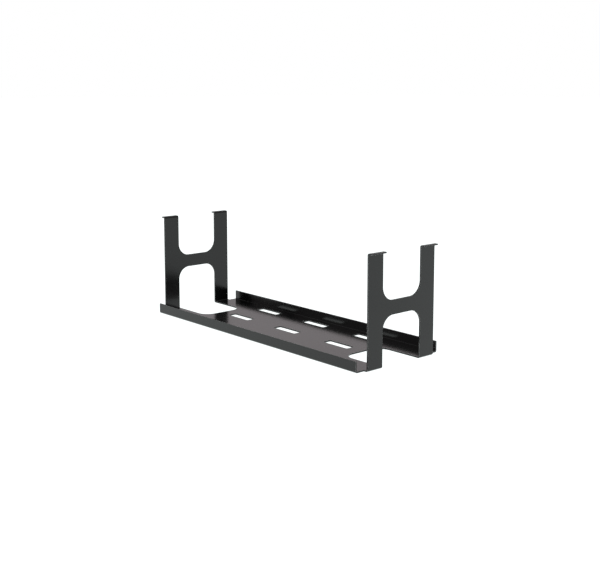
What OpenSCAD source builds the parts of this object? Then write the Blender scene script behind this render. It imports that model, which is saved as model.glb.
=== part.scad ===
// Under-desk cable tray, folded from one sheet of steel.
// Frame: origin under the middle of the base, on its underside.
// +X runs along the tray, Y across it, +Z up. Millimetres.
// Each flat face between two fold lines is one node, and its fold's curve
// goes with the face that is turned up or out. The base is parted further:
// two edges and two slats run along the rows of slots, webs as wide as the
// slots join them, and four arms carry the legs beside the end cut-outs.

/* [Overall size] */
// Length over the outer faces of the end frames, without the hooks
length = 600; // [400:1:900]
// Width over the two side lips
width = 202; // [190:1:320]
// Height from the underside of the base to the top of the hooks
height = 200; // [165:1:300]

/* [Sheet] */
// Thickness of the sheet
sheet_t = 2.5; // [1.5:0.1:3.5]
// Inside radius of every fold
fold_r = 1; // [1:0.25:3]

/* [Side lips] */
// Height of the lips' top edge above the underside of the base
lip_h = 20.5; // [10:0.5:60]
// Distance from an end frame's outer face to the lips' ends
lip_back = 8.5; // [7:0.5:40]

/* [End frames] */
// Distance from a lip's outer face in to a leg's outer edge
leg_inset = 19.5; // [8:0.5:30]
// Width of each leg
leg_w = 35; // [20:1:42]
// Height of the crossbar's lower edge above the underside of the base
bar_z = 89; // [60:1:110]
// Depth of the crossbar
bar_h = 25.5; // [15:0.5:30]
// Corner radius where the crossbar meets the legs
bar_r = 25; // [2:0.5:30]

/* [Hooks] */
// How far a hook stands out from the end frame's outer face
hook_out = 7.5; // [6:0.5:20]

/* [End cut-outs] */
// Distance from an end frame's outer face to the cut-out's inner edge
cut_l = 95.5; // [45:0.5:120]
// Corner radius of the cut-outs
cut_r = 23.5; // [2:0.5:30]

/* [Slots] */
// Length of each slot, along the tray
slot_l = 63; // [20:1:80]
// Width of each slot
slot_w = 18.5; // [6:0.5:30]
// Corner radius of the slots
slot_r = 3; // [1:0.5:3]
// Sheet left between an end cut-out and the nearest slots
slot_end_gap = 29; // [10:0.5:60]
// Sheet left between a lip's fold and the nearest row of slots
slot_side_gap = 14.25; // [4:0.25:30]
// Number of rows of slots
slot_rows = 3; // [2:1:3]

/* [Hidden] */
$fn = 64;
coat = "#3b3d3d";
fold_o = fold_r + sheet_t;           // outside radius of a fold
end_x = length / 2;                  // outer face of an end frame
side_y = width / 2;                  // outer face of a lip
lip_x = end_x - lip_back;            // end of the lips and of the base beside the legs
flat_x = end_x - fold_o;             // where a leg's fold starts
flat_y = side_y - fold_o;            // where a lip's fold starts
leg_out = side_y - leg_inset;        // a leg's outer edge, in Y
leg_in = leg_out - leg_w;            // its inner edge
leg_mid = leg_out - leg_w / 2;       // its middle
cut_x = end_x - cut_l;               // inner edge of an end cut-out
bar_top = bar_z + bar_h;             // the crossbar's upper edge
open_r = min(bar_r, leg_in);         // the openings are never narrower than two radii
notch_r = min(cut_r, leg_in);
arm_x = cut_x + notch_r;             // where the cut-out's straight sides and the arms start
slot_x = cut_x - slot_end_gap - slot_l / 2;   // middle of the outer columns of slots
slot_y = flat_y - slot_side_gap - slot_w / 2; // middle of the outer rows
bands = [-slot_y, 0, slot_y];        // middles of the bands that the webs lie in
rows = slot_rows == 3 ? bands : [-slot_y, slot_y]; // middles of the rows of slots
band_h = slot_w / 2;                 // half a band's width: it ends where its slots do
past = 1;                            // how far a cutter runs past what it cuts

// Rectangle with true arcs at its corners, from corner (x0, y0) to (x1, y1)
module round_rect(x0, y0, x1, y1, r) {
    translate([x0 + r, y0]) square([x1 - x0 - 2 * r, y1 - y0]);
    translate([x0, y0 + r]) square([x1 - x0, y1 - y0 - 2 * r]);
    for (x = [x0 + r, x1 - r], y = [y0 + r, y1 - r]) translate([x, y]) circle(r);
}

// A fold's cross-section: a quarter ring round the origin, in the quarter
// that has positive x and negative y
module fold_2d() {
    difference() {
        intersection() {
            circle(fold_o);
            translate([0, -fold_o]) square([fold_o, fold_o]);
        }
        circle(fold_r);
    }
}

// Lip, seen along the tray: x is across it, outwards, and y is up
module lip_2d() {
    translate([flat_y, fold_o]) fold_2d();
    translate([side_y - sheet_t, fold_o]) square([sheet_t, lip_h - fold_o]);
}

// Front (side = -1) or rear (side = 1) lip with its fold
module lip(side) {
    mirror([0, side < 0 ? 1 : 0, 0]) translate([-lip_x, 0, 0]) rotate([90, 0, 90])
        linear_extrude(2 * lip_x) lip_2d();
}

// End frame's flat face: x is across the tray and y is up
module frame_2d() {
    difference() {
        translate([-leg_out, fold_o]) square([2 * leg_out, height - 2 * fold_o]);
        // upper opening, open at the top
        round_rect(-leg_in, bar_top, leg_in, height + open_r + past, open_r);
        // lower opening, open at the bottom
        round_rect(-leg_in, -open_r - past, leg_in, bar_z, open_r);
    }
}

// End frame at the +X end, with the folds that join its legs to the base
module end_frame() {
    translate([end_x - sheet_t, 0, 0]) rotate([90, 0, 90])
        linear_extrude(sheet_t) frame_2d();
    for (y = [-leg_mid, leg_mid])
        translate([flat_x, y + leg_w / 2, fold_o]) rotate([90, 0, 0])
            linear_extrude(leg_w) fold_2d();
}

// Hook at the top of a leg at the +X end: a fold that turns out, and its flat
module hook(y) {
    translate([end_x + fold_r, y + leg_w / 2, height - fold_o]) rotate([90, 0, 0])
        linear_extrude(leg_w) {
            rotate(180) fold_2d();
            translate([0, fold_r]) square([hook_out - fold_r, sheet_t]);
        }
}

// Base between the arms: its slots, and the round inner part of a cut-out
// at each end
module base_2d() {
    difference() {
        translate([-arm_x, -flat_y]) square([2 * arm_x, 2 * flat_y]);
        for (s = [0, 1]) mirror([s, 0])
            round_rect(cut_x, -leg_in, arm_x + notch_r + past, leg_in, notch_r);
        for (x = [-slot_x, 0, slot_x], y = rows) translate([x, y])
            round_rect(-slot_l / 2, -slot_w / 2, slot_l / 2, slot_w / 2, slot_r);
    }
}

// The part of the base from y0 to y1
module base_band(y0, y1) {
    linear_extrude(sheet_t) intersection() {
        base_2d();
        translate([-arm_x, y0]) square([2 * arm_x, y1 - y0]);
    }
}

// Arm at the +X end, behind the middle: the strip of the base beside a
// cut-out. Past the lip's end only the part that carries the leg goes on.
module arm() {
    linear_extrude(sheet_t) translate([arm_x, leg_in]) {
        square([lip_x - arm_x, flat_y - leg_in]);
        square([flat_x - arm_x, leg_w]);
    }
}

// Sheet left between the slots of a row, and between a row and the ends
module slot_webs() { color(coat) for (y = bands) base_band(y - band_h, y + band_h); }
module base_rear_slat() { color(coat) base_band(band_h, slot_y - band_h); }
module base_front_slat() { color(coat) mirror([0, 1, 0]) base_band(band_h, slot_y - band_h); }
module base_rear_edge() { color(coat) base_band(slot_y + band_h, flat_y); }
module base_front_edge() { color(coat) mirror([0, 1, 0]) base_band(slot_y + band_h, flat_y); }
module front_lip() { color(coat) lip(-1); }
module rear_lip() { color(coat) lip(1); }
module right_rear_arm() { color(coat) arm(); }
module right_front_arm() { color(coat) mirror([0, 1, 0]) arm(); }
module left_rear_arm() { color(coat) mirror([1, 0, 0]) arm(); }
module left_front_arm() { color(coat) rotate(180) arm(); }
module right_end_frame() { color(coat) end_frame(); }
module left_end_frame() { color(coat) mirror([1, 0, 0]) end_frame(); }
module right_front_hook() { color(coat) hook(-leg_mid); }
module right_rear_hook() { color(coat) hook(leg_mid); }
module left_front_hook() { color(coat) mirror([1, 0, 0]) hook(-leg_mid); }
module left_rear_hook() { color(coat) mirror([1, 0, 0]) hook(leg_mid); }

base_front_edge();
base_front_slat();
base_rear_slat();
base_rear_edge();
slot_webs();
front_lip();
rear_lip();
left_front_arm();
left_rear_arm();
right_front_arm();
right_rear_arm();
left_end_frame();
right_end_frame();
left_front_hook();
left_rear_hook();
right_front_hook();
right_rear_hook();
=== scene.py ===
import math

import bmesh
import bpy
from mathutils import Matrix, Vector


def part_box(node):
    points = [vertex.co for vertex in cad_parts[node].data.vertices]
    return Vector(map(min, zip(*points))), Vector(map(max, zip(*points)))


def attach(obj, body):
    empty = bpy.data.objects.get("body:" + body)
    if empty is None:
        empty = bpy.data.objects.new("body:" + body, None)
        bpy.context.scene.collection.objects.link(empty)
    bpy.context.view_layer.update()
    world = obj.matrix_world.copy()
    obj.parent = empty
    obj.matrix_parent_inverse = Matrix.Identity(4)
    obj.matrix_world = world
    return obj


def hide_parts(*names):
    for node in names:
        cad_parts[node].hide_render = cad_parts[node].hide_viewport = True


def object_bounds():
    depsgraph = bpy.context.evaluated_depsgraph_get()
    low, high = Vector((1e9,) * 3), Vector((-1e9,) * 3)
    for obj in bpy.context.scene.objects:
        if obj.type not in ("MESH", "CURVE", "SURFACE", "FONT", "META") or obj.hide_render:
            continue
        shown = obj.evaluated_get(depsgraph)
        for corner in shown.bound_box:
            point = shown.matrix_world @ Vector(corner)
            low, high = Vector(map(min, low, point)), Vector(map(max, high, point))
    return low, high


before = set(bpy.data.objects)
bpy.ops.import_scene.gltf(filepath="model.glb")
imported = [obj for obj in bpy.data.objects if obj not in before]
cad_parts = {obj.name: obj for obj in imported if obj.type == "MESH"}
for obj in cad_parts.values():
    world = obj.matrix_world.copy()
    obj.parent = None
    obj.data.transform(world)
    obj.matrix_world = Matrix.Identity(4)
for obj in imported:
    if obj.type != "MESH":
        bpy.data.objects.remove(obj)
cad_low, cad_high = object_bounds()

# ---- Slotted base
# The flat middle of the tray: 2.5 mm cold-rolled steel, laser-cut with nine
# slots for cable ties and an open notch at each end, so that plugs pass down.
# It is one blank with the lips, end frames and hooks, which are folded from it.

STEP = 1e-6                                   # welds points that meet


def add(tree, kind, inputs=None, **settings):
    """Adds a node. inputs maps a socket to its value, or to the socket that feeds it."""
    node = tree.nodes.new(kind)
    for name, value in settings.items():
        setattr(node, name, value)
    for key, value in (inputs or {}).items():
        if isinstance(value, bpy.types.NodeSocket):
            tree.links.new(value, node.inputs[key])
        else:
            node.inputs[key].default_value = value
    return node


def new_tree(name, sizes):
    """A geometry tree with an outline going in, a mesh coming out and the named sizes."""
    tree = bpy.data.node_groups.new(name, "GeometryNodeTree")
    tree.interface.new_socket("Outline", in_out="INPUT", socket_type="NodeSocketGeometry")
    tree.interface.new_socket("Sheet", in_out="OUTPUT", socket_type="NodeSocketGeometry")
    for size, kind in sizes.items():
        tree.interface.new_socket(size, in_out="INPUT", socket_type=kind)
    start = add(tree, "NodeGroupInput")
    return tree, start.outputs


LENGTH, COUNT, FINISH = "NodeSocketFloat", "NodeSocketInt", "NodeSocketMaterial"


def rounded_outline(tree, sockets):
    """The outline as a closed curve, each corner rounded by its own radius."""
    curve = add(tree, "GeometryNodeMeshToCurve", {"Mesh": sockets["Outline"]})
    radius = add(tree, "GeometryNodeInputNamedAttribute", {"Name": "corner"}, data_type="FLOAT")
    return add(tree, "GeometryNodeFilletCurve", {
        "Curve": curve.outputs["Curve"], "Radius": radius.outputs["Attribute"],
        "Limit Radius": True, "Count": 20}, mode="POLY")


def thickened(tree, flat, thickness):
    """The flat mesh made a closed slab, from its own height up by the sheet's thickness."""
    welded = add(tree, "GeometryNodeMergeByDistance", {"Geometry": flat, "Distance": STEP})
    top = add(tree, "GeometryNodeExtrudeMesh", {
        "Mesh": welded.outputs["Geometry"], "Offset": (0, 0, 1), "Offset Scale": thickness,
        "Individual": False}, mode="FACES")
    under = add(tree, "GeometryNodeFlipFaces", {"Mesh": welded.outputs["Geometry"]})
    both = add(tree, "GeometryNodeJoinGeometry")
    tree.links.new(top.outputs["Mesh"], both.inputs["Geometry"])
    tree.links.new(under.outputs["Mesh"], both.inputs["Geometry"])
    closed = add(tree, "GeometryNodeMergeByDistance", {
        "Geometry": both.outputs["Geometry"], "Distance": STEP})
    return closed.outputs["Geometry"]


def end_tree(tree, geometry, finish):
    """Closes a tree as the export needs it, with no instances and the finish set."""
    plain = add(tree, "GeometryNodeRealizeInstances", {"Geometry": geometry})
    coated = add(tree, "GeometryNodeSetMaterial", {
        "Geometry": plain.outputs["Geometry"], "Material": finish})
    add(tree, "NodeGroupOutput", {"Sheet": coated.outputs["Geometry"]})


def cut_part(name, corners, tree, sizes):
    """A plain mesh: the corners (x, y, radius) of an outline, run through the tree."""
    loop = bpy.data.meshes.new(name + "_outline")
    count = len(corners)
    loop.from_pydata([(x, y, 0) for x, y, r in corners],
                     [(i, (i + 1) % count) for i in range(count)], [])
    loop.attributes.new("corner", "FLOAT", "POINT").data.foreach_set("value", [c[2] for c in corners])
    drawn = bpy.data.objects.new(name + "_drawn", loop)
    bpy.context.collection.objects.link(drawn)
    modifier = drawn.modifiers.new("Cut", "NODES")
    modifier.node_group = tree
    for socket in tree.interface.items_tree:
        if socket.in_out == "INPUT" and socket.name in sizes:
            modifier[socket.identifier] = sizes[socket.name]
    graph = bpy.context.evaluated_depsgraph_get()
    mesh = bpy.data.meshes.new_from_object(drawn.evaluated_get(graph))
    bpy.data.objects.remove(drawn)
    mesh.name = name
    return mesh


EDGE_SOFT = 0.00005                           # the coat's rounding of a laser-cut edge
CORNER = math.radians(50)                     # faces that meet at more than this make an edge


def finished(name, mesh, on_seam):
    """The piece, with its cut edges rounded but not those where it runs on into its neighbour."""
    shape = bmesh.new()
    shape.from_mesh(mesh)
    bmesh.ops.remove_doubles(shape, verts=shape.verts, dist=STEP)
    bmesh.ops.recalc_face_normals(shape, faces=shape.faces)
    sharp = [e for e in shape.edges if e.is_manifold and abs(e.calc_face_angle()) > CORNER
             and not all(on_seam(v.co) for v in e.verts)]
    bmesh.ops.bevel(shape, geom=sharp, offset=EDGE_SOFT, segments=2, profile=0.5, affect="EDGES",
                    clamp_overlap=True)
    for face in shape.faces:
        face.smooth = True
    for edge in shape.edges:
        if edge.is_manifold and all(on_seam(v.co) for v in edge.verts):
            edge.smooth = abs(edge.calc_face_angle()) < CORNER
    shape.to_mesh(mesh)
    shape.free()
    piece = bpy.data.objects.new(name, mesh)
    bpy.context.collection.objects.link(piece)
    even = piece.modifiers.new("Flat faces stay flat", "WEIGHTED_NORMAL")
    even.keep_sharp = True
    even.weight = 100
    graph = bpy.context.evaluated_depsgraph_get()
    smooth = bpy.data.meshes.new_from_object(piece.evaluated_get(graph))
    piece.modifiers.clear()
    piece.data = smooth
    smooth.name = name
    return piece


sheet_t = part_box("base_rear_slat")[1].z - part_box("base_rear_slat")[0].z
flat_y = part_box("rear_lip")[0].y              # where a lip's fold starts
side_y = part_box("rear_lip")[1].y              # its outer face
lip_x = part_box("rear_lip")[1].x               # a lip's end, and the base's beside the legs
flat_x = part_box("right_end_frame")[0].x       # where a leg's fold starts
end_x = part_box("right_end_frame")[1].x        # its outer face
leg_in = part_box("right_rear_hook")[0].y       # a leg's two sides
leg_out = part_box("right_rear_hook")[1].y
notch_r = 0.0235                              # the notch's round corners
notch_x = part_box("right_rear_arm")[0].x - notch_r
slot_size = (0.063, 0.0185)
slot_r = 0.003
slot_pitch = (0.144, 0.074)
slot_count = (3, 3)

# Powder coat: polyester, semi-gloss black, sprayed dry and baked at about 190 C.
# The resin flows before it sets, so it shows soft, slightly rippled reflections
# over a near-black colour, with a faint grain where powder grains didn't melt in.


def linear(code):
    """sRGB hex to the linear colour that the nodes take."""
    parts = [int(code[i:i + 2], 16) / 255 for i in (1, 3, 5)]
    return (*[p / 12.92 if p <= 0.04045 else ((p + 0.055) / 1.055) ** 2.4 for p in parts], 1)


coat = bpy.data.materials.new("black_polyester_powder_coat")
coat.use_nodes = True
nodes = coat.node_tree
shader = nodes.nodes["Principled BSDF"]
shader.inputs["Metallic"].default_value = 0
shader.inputs["IOR"].default_value = 1.42
where = add(nodes, "ShaderNodeTexCoord").outputs["Object"]

FILM_MM, PEEL_MM, GRAIN_MM = 90, 3.5, 0.9     # how far apart each pattern's waves are
film = add(nodes, "ShaderNodeTexNoise", {
    "Vector": where, "Scale": 1000 / FILM_MM, "Detail": 3, "Roughness": 0.5})
peel = add(nodes, "ShaderNodeTexNoise", {
    "Vector": where, "Scale": 1000 / PEEL_MM, "Detail": 2, "Roughness": 0.45})
grain = add(nodes, "ShaderNodeTexNoise", {
    "Vector": where, "Scale": 1000 / GRAIN_MM, "Detail": 3, "Roughness": 0.6})
tone = add(nodes, "ShaderNodeValToRGB", {"Fac": film.outputs["Fac"]})
tone.color_ramp.elements[0].position = 0.3
tone.color_ramp.elements[0].color = linear("#0b0c0c")
tone.color_ramp.elements[1].position = 0.7
tone.color_ramp.elements[1].color = linear("#0f1010")
nodes.links.new(tone.outputs["Color"], shader.inputs["Base Color"])
gloss = add(nodes, "ShaderNodeMapRange", {
    "Value": grain.outputs["Fac"], "From Min": 0.3, "From Max": 0.7, "To Min": 0.15, "To Max": 0.22})
nodes.links.new(gloss.outputs["Result"], shader.inputs["Roughness"])
ripple = add(nodes, "ShaderNodeBump", {
    "Height": peel.outputs["Fac"], "Strength": 0.35, "Distance": 0.00004})
speck = add(nodes, "ShaderNodeBump", {
    "Height": grain.outputs["Fac"], "Strength": 0.3, "Distance": 0.000012,
    "Normal": ripple.outputs["Normal"]})
nodes.links.new(speck.outputs["Normal"], shader.inputs["Normal"])

slotted_tree, sizes = new_tree("Slotted base", {
    "Thickness": LENGTH, "Slot Length": LENGTH, "Slot Width": LENGTH, "Slot Radius": LENGTH,
    "Column Span": LENGTH, "Row Span": LENGTH, "Columns": COUNT, "Rows": COUNT, "Finish": FINISH})
blank = rounded_outline(slotted_tree, sizes)
slot = add(slotted_tree, "GeometryNodeCurvePrimitiveQuadrilateral", {
    "Width": sizes["Slot Length"], "Height": sizes["Slot Width"]})
slot = add(slotted_tree, "GeometryNodeFilletCurve", {
    "Curve": slot.outputs["Curve"], "Radius": sizes["Slot Radius"], "Count": 8}, mode="POLY")
places = add(slotted_tree, "GeometryNodeMeshGrid", {
    "Size X": sizes["Column Span"], "Size Y": sizes["Row Span"],
    "Vertices X": sizes["Columns"], "Vertices Y": sizes["Rows"]})
slots = add(slotted_tree, "GeometryNodeInstanceOnPoints", {
    "Points": places.outputs["Mesh"], "Instance": slot.outputs["Curve"]})
slots = add(slotted_tree, "GeometryNodeRealizeInstances", {"Geometry": slots.outputs["Instances"]})
cuts = add(slotted_tree, "GeometryNodeJoinGeometry")
slotted_tree.links.new(blank.outputs["Curve"], cuts.inputs["Geometry"])
slotted_tree.links.new(slots.outputs["Geometry"], cuts.inputs["Geometry"])
face = add(slotted_tree, "GeometryNodeFillCurve", {"Curve": cuts.outputs["Geometry"]}, mode="NGONS")
slab = thickened(slotted_tree, face.outputs["Mesh"], sizes["Thickness"])
end_tree(slotted_tree, slab, sizes["Finish"])

quarter = [(notch_x, 0, 0), (notch_x, leg_in, notch_r), (flat_x, leg_in, 0),
           (flat_x, leg_out, 0), (lip_x, leg_out, 0), (lip_x, flat_y, 0)]
half = [(x, -y, r) for x, y, r in quarter[:0:-1]] + quarter[1:]
base_outline = half + [(-x, -y, r) for x, y, r in half]
base_mesh = cut_part("slotted_base", base_outline, slotted_tree, {
    "Thickness": sheet_t, "Slot Length": slot_size[0], "Slot Width": slot_size[1],
    "Slot Radius": slot_r, "Finish": coat,
    "Column Span": (slot_count[0] - 1) * slot_pitch[0], "Row Span": (slot_count[1] - 1) * slot_pitch[1],
    "Columns": slot_count[0], "Rows": slot_count[1]})
slotted_base = finished("slotted_base", base_mesh,
                        lambda p: abs(p.y) > flat_y - STEP or abs(p.x) > flat_x - STEP)
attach(slotted_base, "root")
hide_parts("base_front_edge", "base_front_slat", "base_rear_slat", "base_rear_edge",
            "slot_webs", "left_front_arm", "left_rear_arm", "right_front_arm", "right_rear_arm")

# ---- Side lips
# The long edges of the blank, folded up in a press brake to a low rim. They
# stiffen the tray and keep cables in. Each ends short of the end frames.

fold_o = side_y - flat_y                      # outside radius of a fold
fold_r = fold_o - sheet_t                     # inside radius, the brake's tool
arc = (fold_r + sheet_t / 2) * math.pi / 2    # the fold's length along the middle of the sheet
FOLD_STEPS = 16

folded_tree, sizes = new_tree("Folded part", {
    "Thickness": LENGTH, "Outside Radius": LENGTH, "Fold Length": LENGTH, "Fold Steps": COUNT,
    "Strip Width": LENGTH, "Strip Span": LENGTH, "Strips": COUNT, "Finish": FINISH})
blank = rounded_outline(folded_tree, sizes)
flat = add(folded_tree, "GeometryNodeFillCurve", {"Curve": blank.outputs["Curve"]}, mode="NGONS")
rings = add(folded_tree, "ShaderNodeMath", {0: sizes["Fold Steps"], 1: 1}, operation="ADD")
strip = add(folded_tree, "GeometryNodeMeshGrid", {
    "Size X": sizes["Strip Width"], "Size Y": sizes["Fold Length"],
    "Vertices X": 2, "Vertices Y": rings.outputs[0]})
half_fold = add(folded_tree, "ShaderNodeMath", {0: sizes["Fold Length"], 1: 0.5}, operation="MULTIPLY")
middle = add(folded_tree, "ShaderNodeCombineXYZ", {"Y": half_fold.outputs[0]})
strip = add(folded_tree, "GeometryNodeTransform", {
    "Geometry": strip.outputs["Mesh"], "Translation": middle.outputs[0]})
row = add(folded_tree, "GeometryNodeMeshGrid", {
    "Size X": sizes["Strip Span"], "Size Y": 0.0, "Vertices X": sizes["Strips"], "Vertices Y": 1})
strips = add(folded_tree, "GeometryNodeInstanceOnPoints", {
    "Points": row.outputs["Mesh"], "Instance": strip.outputs["Geometry"]})
strips = add(folded_tree, "GeometryNodeRealizeInstances", {"Geometry": strips.outputs["Instances"]})
whole = add(folded_tree, "GeometryNodeJoinGeometry")
folded_tree.links.new(flat.outputs["Mesh"], whole.inputs["Geometry"])
folded_tree.links.new(strips.outputs["Geometry"], whole.inputs["Geometry"])
slab = thickened(folded_tree, whole.outputs["Geometry"], sizes["Thickness"])

# the fold itself: a point that is `along` past the fold line turns about the fold's centre
at = add(folded_tree, "ShaderNodeSeparateXYZ", {0: add(folded_tree, "GeometryNodeInputPosition").outputs[0]})
share = add(folded_tree, "ShaderNodeMath", {0: at.outputs["Y"], 1: sizes["Fold Length"]},
            operation="DIVIDE", use_clamp=True)
angle = add(folded_tree, "ShaderNodeMath", {0: share.outputs[0], 1: math.pi / 2}, operation="MULTIPLY")
reach = add(folded_tree, "ShaderNodeMath", {0: sizes["Outside Radius"], 1: at.outputs["Z"]},
            operation="SUBTRACT")
past = add(folded_tree, "ShaderNodeMath", {0: at.outputs["Y"], 1: sizes["Fold Length"]},
           operation="SUBTRACT")
past = add(folded_tree, "ShaderNodeMath", {0: past.outputs[0], 1: 0.0}, operation="MAXIMUM")
sine = add(folded_tree, "ShaderNodeMath", {0: angle.outputs[0]}, operation="SINE")
cosine = add(folded_tree, "ShaderNodeMath", {0: angle.outputs[0]}, operation="COSINE")
out = add(folded_tree, "ShaderNodeMath", {0: reach.outputs[0], 1: sine.outputs[0]}, operation="MULTIPLY")
drop = add(folded_tree, "ShaderNodeMath", {0: reach.outputs[0], 1: cosine.outputs[0]},
           operation="MULTIPLY")
rise = add(folded_tree, "ShaderNodeMath", {0: sizes["Outside Radius"], 1: drop.outputs[0]},
           operation="SUBTRACT")
rise = add(folded_tree, "ShaderNodeMath", {0: rise.outputs[0], 1: past.outputs[0]}, operation="ADD")
folded_at = add(folded_tree, "ShaderNodeCombineXYZ", {
    "X": at.outputs["X"], "Y": out.outputs[0], "Z": rise.outputs[0]})
folded = add(folded_tree, "GeometryNodeSetPosition", {"Geometry": slab, "Position": folded_at.outputs[0]})
end_tree(folded_tree, folded.outputs["Geometry"], sizes["Finish"])


def folded_part(name, outline, strip_width, strip_span, strips, place, on_seam):
    """A flat outline that starts where its fold ends, folded up and carried to its place."""
    mesh = cut_part(name, outline, folded_tree, {
        "Thickness": sheet_t, "Outside Radius": fold_o, "Fold Length": arc, "Fold Steps": FOLD_STEPS,
        "Strip Width": strip_width, "Strip Span": strip_span, "Strips": strips, "Finish": coat})
    mesh.transform(place)
    piece = finished(name, mesh, on_seam)
    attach(piece, "root")
    return piece


lip_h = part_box("rear_lip")[1].z
lip_top = arc + lip_h - fold_o                # where a lip's top edge lies on the flat blank
lip_outline = [(-lip_x, arc, 0), (lip_x, arc, 0), (lip_x, lip_top, 0), (-lip_x, lip_top, 0)]
for side, turn in (("rear", 0), ("front", math.pi)):
    place = Matrix.Rotation(turn, 4, "Z") @ Matrix.Translation((0, flat_y, 0))
    lip = folded_part("side_rim_" + side, lip_outline, 2 * lip_x, 0.0, 1, place,
                      lambda p: abs(p.y) < flat_y + STEP)
    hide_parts(side + "_lip")

# ---- End frames
# Each end of the blank is folded straight up and hangs the tray from the desk.
# It is cut to an H, so that cables run in under the crossbar and over it.

top_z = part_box("right_end_frame")[1].z        # where the hooks' folds start
bar_low, bar_high, bar_r = 0.089, 0.1145, 0.025
rise_to = arc - fold_o                        # a height's place on the flat blank, past its fold
side_profile = [(leg_in, arc, 0), (leg_out, arc, 0), (leg_out, top_z + rise_to, 0),
                (leg_in, top_z + rise_to, 0), (leg_in, bar_high + rise_to, bar_r)]
frame_outline = side_profile + [(-x, y, r) for x, y, r in side_profile[::-1]]
frame_outline += [(-leg_in, bar_low + rise_to, bar_r), (leg_in, bar_low + rise_to, bar_r)]
for side, turn in (("right", -math.pi / 2), ("left", math.pi / 2)):
    place = Matrix.Rotation(turn, 4, "Z") @ Matrix.Translation((0, flat_x, 0))
    end_frame = folded_part("leg_frame_" + side, frame_outline, leg_out - leg_in, leg_in + leg_out, 2,
                            place, lambda p: abs(p.x) < flat_x + STEP or p.z > top_z - STEP)
    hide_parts(side + "_end_frame")

# ---- Hooks
# The tips of the four legs, folded outwards last of all. They lie on a rail or
# in brackets under the desk top, and carry the whole tray with its cables.

hook_low, hook_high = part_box("right_rear_hook")
hook_w = leg_out - leg_in
hook_tip = arc + hook_high.x - (end_x - sheet_t) - fold_o
hook_outline = [(-hook_w / 2, arc, 0), (hook_w / 2, arc, 0),
                (hook_w / 2, hook_tip, 0), (-hook_w / 2, hook_tip, 0)]
stand = Matrix(((0, 0, 1, 0), (1, 0, 0, 0), (0, 1, 0, 0), (0, 0, 0, 1)))
leg_mid = (leg_in + leg_out) / 2
for side, turn in (("right", 0), ("left", math.pi)):
    for row_name, y in (("front", -leg_mid), ("rear", leg_mid)):
        y = y if side == "right" else -y      # a half turn swaps front and rear
        place = Matrix.Rotation(turn, 4, "Z") @ Matrix.Translation((end_x - sheet_t, y, hook_low.z)) @ stand
        hook = folded_part(f"desk_hook_{side}_{row_name}", hook_outline, hook_w, 0.0, 1, place,
                           lambda p: p.z < hook_low.z + STEP)
        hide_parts(f"{side}_{row_name}_hook")

# ---- Studio
# A seamless white floor that glows evenly, as a light table does, under a soft
# dome. The near-black coat takes its look from what it mirrors of them.

bpy.context.scene.view_settings.view_transform = "Standard"
FLOOR_SIZE, FLOOR_GAP = 60, 0.0003            # the gap keeps the floor off the tray's underside
floor_mesh = bpy.data.meshes.new("floor")
corner = FLOOR_SIZE / 2
floor_z = cad_low.z - FLOOR_GAP
floor_mesh.from_pydata([(-corner, -corner, floor_z), (corner, -corner, floor_z),
                        (corner, corner, floor_z), (-corner, corner, floor_z)], [], [(0, 1, 2, 3)])
floor = bpy.data.objects.new("floor", floor_mesh)
bpy.context.collection.objects.link(floor)
# Opal acrylic, the sheet over a light table: milky white, matt, and lit from
# below, so that nothing that stands on it throws a shadow.
FLOOR_GLOW = 1.12
opal = bpy.data.materials.new("backlit_opal_acrylic")
opal.use_nodes = True
opal_shader = opal.node_tree.nodes["Principled BSDF"]
opal_shader.inputs["Base Color"].default_value = linear("#8a8a8a")
opal_shader.inputs["Roughness"].default_value = 0.9
opal_shader.inputs["Specular IOR Level"].default_value = 0.1
opal_shader.inputs["Emission Color"].default_value = linear("#f9fffe")
opal_shader.inputs["Emission Strength"].default_value = FLOOR_GLOW
floor_mesh.materials.append(opal)

# The dome is brightest in a band some way above the horizon, which the flat base
# mirrors, and darker below and above it. The camera sees it as plain white.
DOME_LIGHT = {0.0: "#303030", 0.165: "#5c5a5a", 0.205: "#b2acaf", 0.26: "#c0b9bb",
              0.45: "#7a7a7a", 1.0: "#a0a0a0"}   # by height
DOME_STRENGTH = 1.7
world = bpy.data.worlds.new("white dome")
bpy.context.scene.world = world
world.use_nodes = True
sky = world.node_tree
direction = add(sky, "ShaderNodeTexCoord").outputs["Generated"]
height = add(sky, "ShaderNodeSeparateXYZ", {"Vector": direction}).outputs["Z"]
shade = add(sky, "ShaderNodeValToRGB", {"Fac": height})
for _ in range(len(DOME_LIGHT) - 2):
    shade.color_ramp.elements.new(0.5)
for element, (place, code) in zip(shade.color_ramp.elements, DOME_LIGHT.items()):
    element.position = place
    element.color = linear(code)
dome = sky.nodes["Background"]
dome.inputs["Strength"].default_value = DOME_STRENGTH
sky.links.new(shade.outputs["Color"], dome.inputs["Color"])
backdrop = add(sky, "ShaderNodeBackground", {"Color": linear("#ffffff"), "Strength": 1.0})
seen = add(sky, "ShaderNodeLightPath").outputs["Is Camera Ray"]
shown = add(sky, "ShaderNodeMixShader", {
    "Fac": seen, 1: dome.outputs["Background"], 2: backdrop.outputs["Background"]})
sky.links.new(shown.outputs["Shader"], sky.nodes["World Output"].inputs["Surface"])

# The lens is shifted down, as a view camera's is, so that the uprights lean little.
PITCH, YAW = 7.23, 48.678                     # degrees
lens = bpy.data.cameras.new("camera")
lens.sensor_width = 36
lens.lens = 59.35
lens.shift_x = -0.0008
lens.shift_y = -0.1204
lens.clip_end = 200
camera = bpy.data.objects.new("camera", lens)
camera.location = (1.4232, -1.2172, 0.4734)
camera.rotation_euler = (math.radians(90 - PITCH), 0, math.radians(YAW))
bpy.context.collection.objects.link(camera)
bpy.context.scene.camera = camera
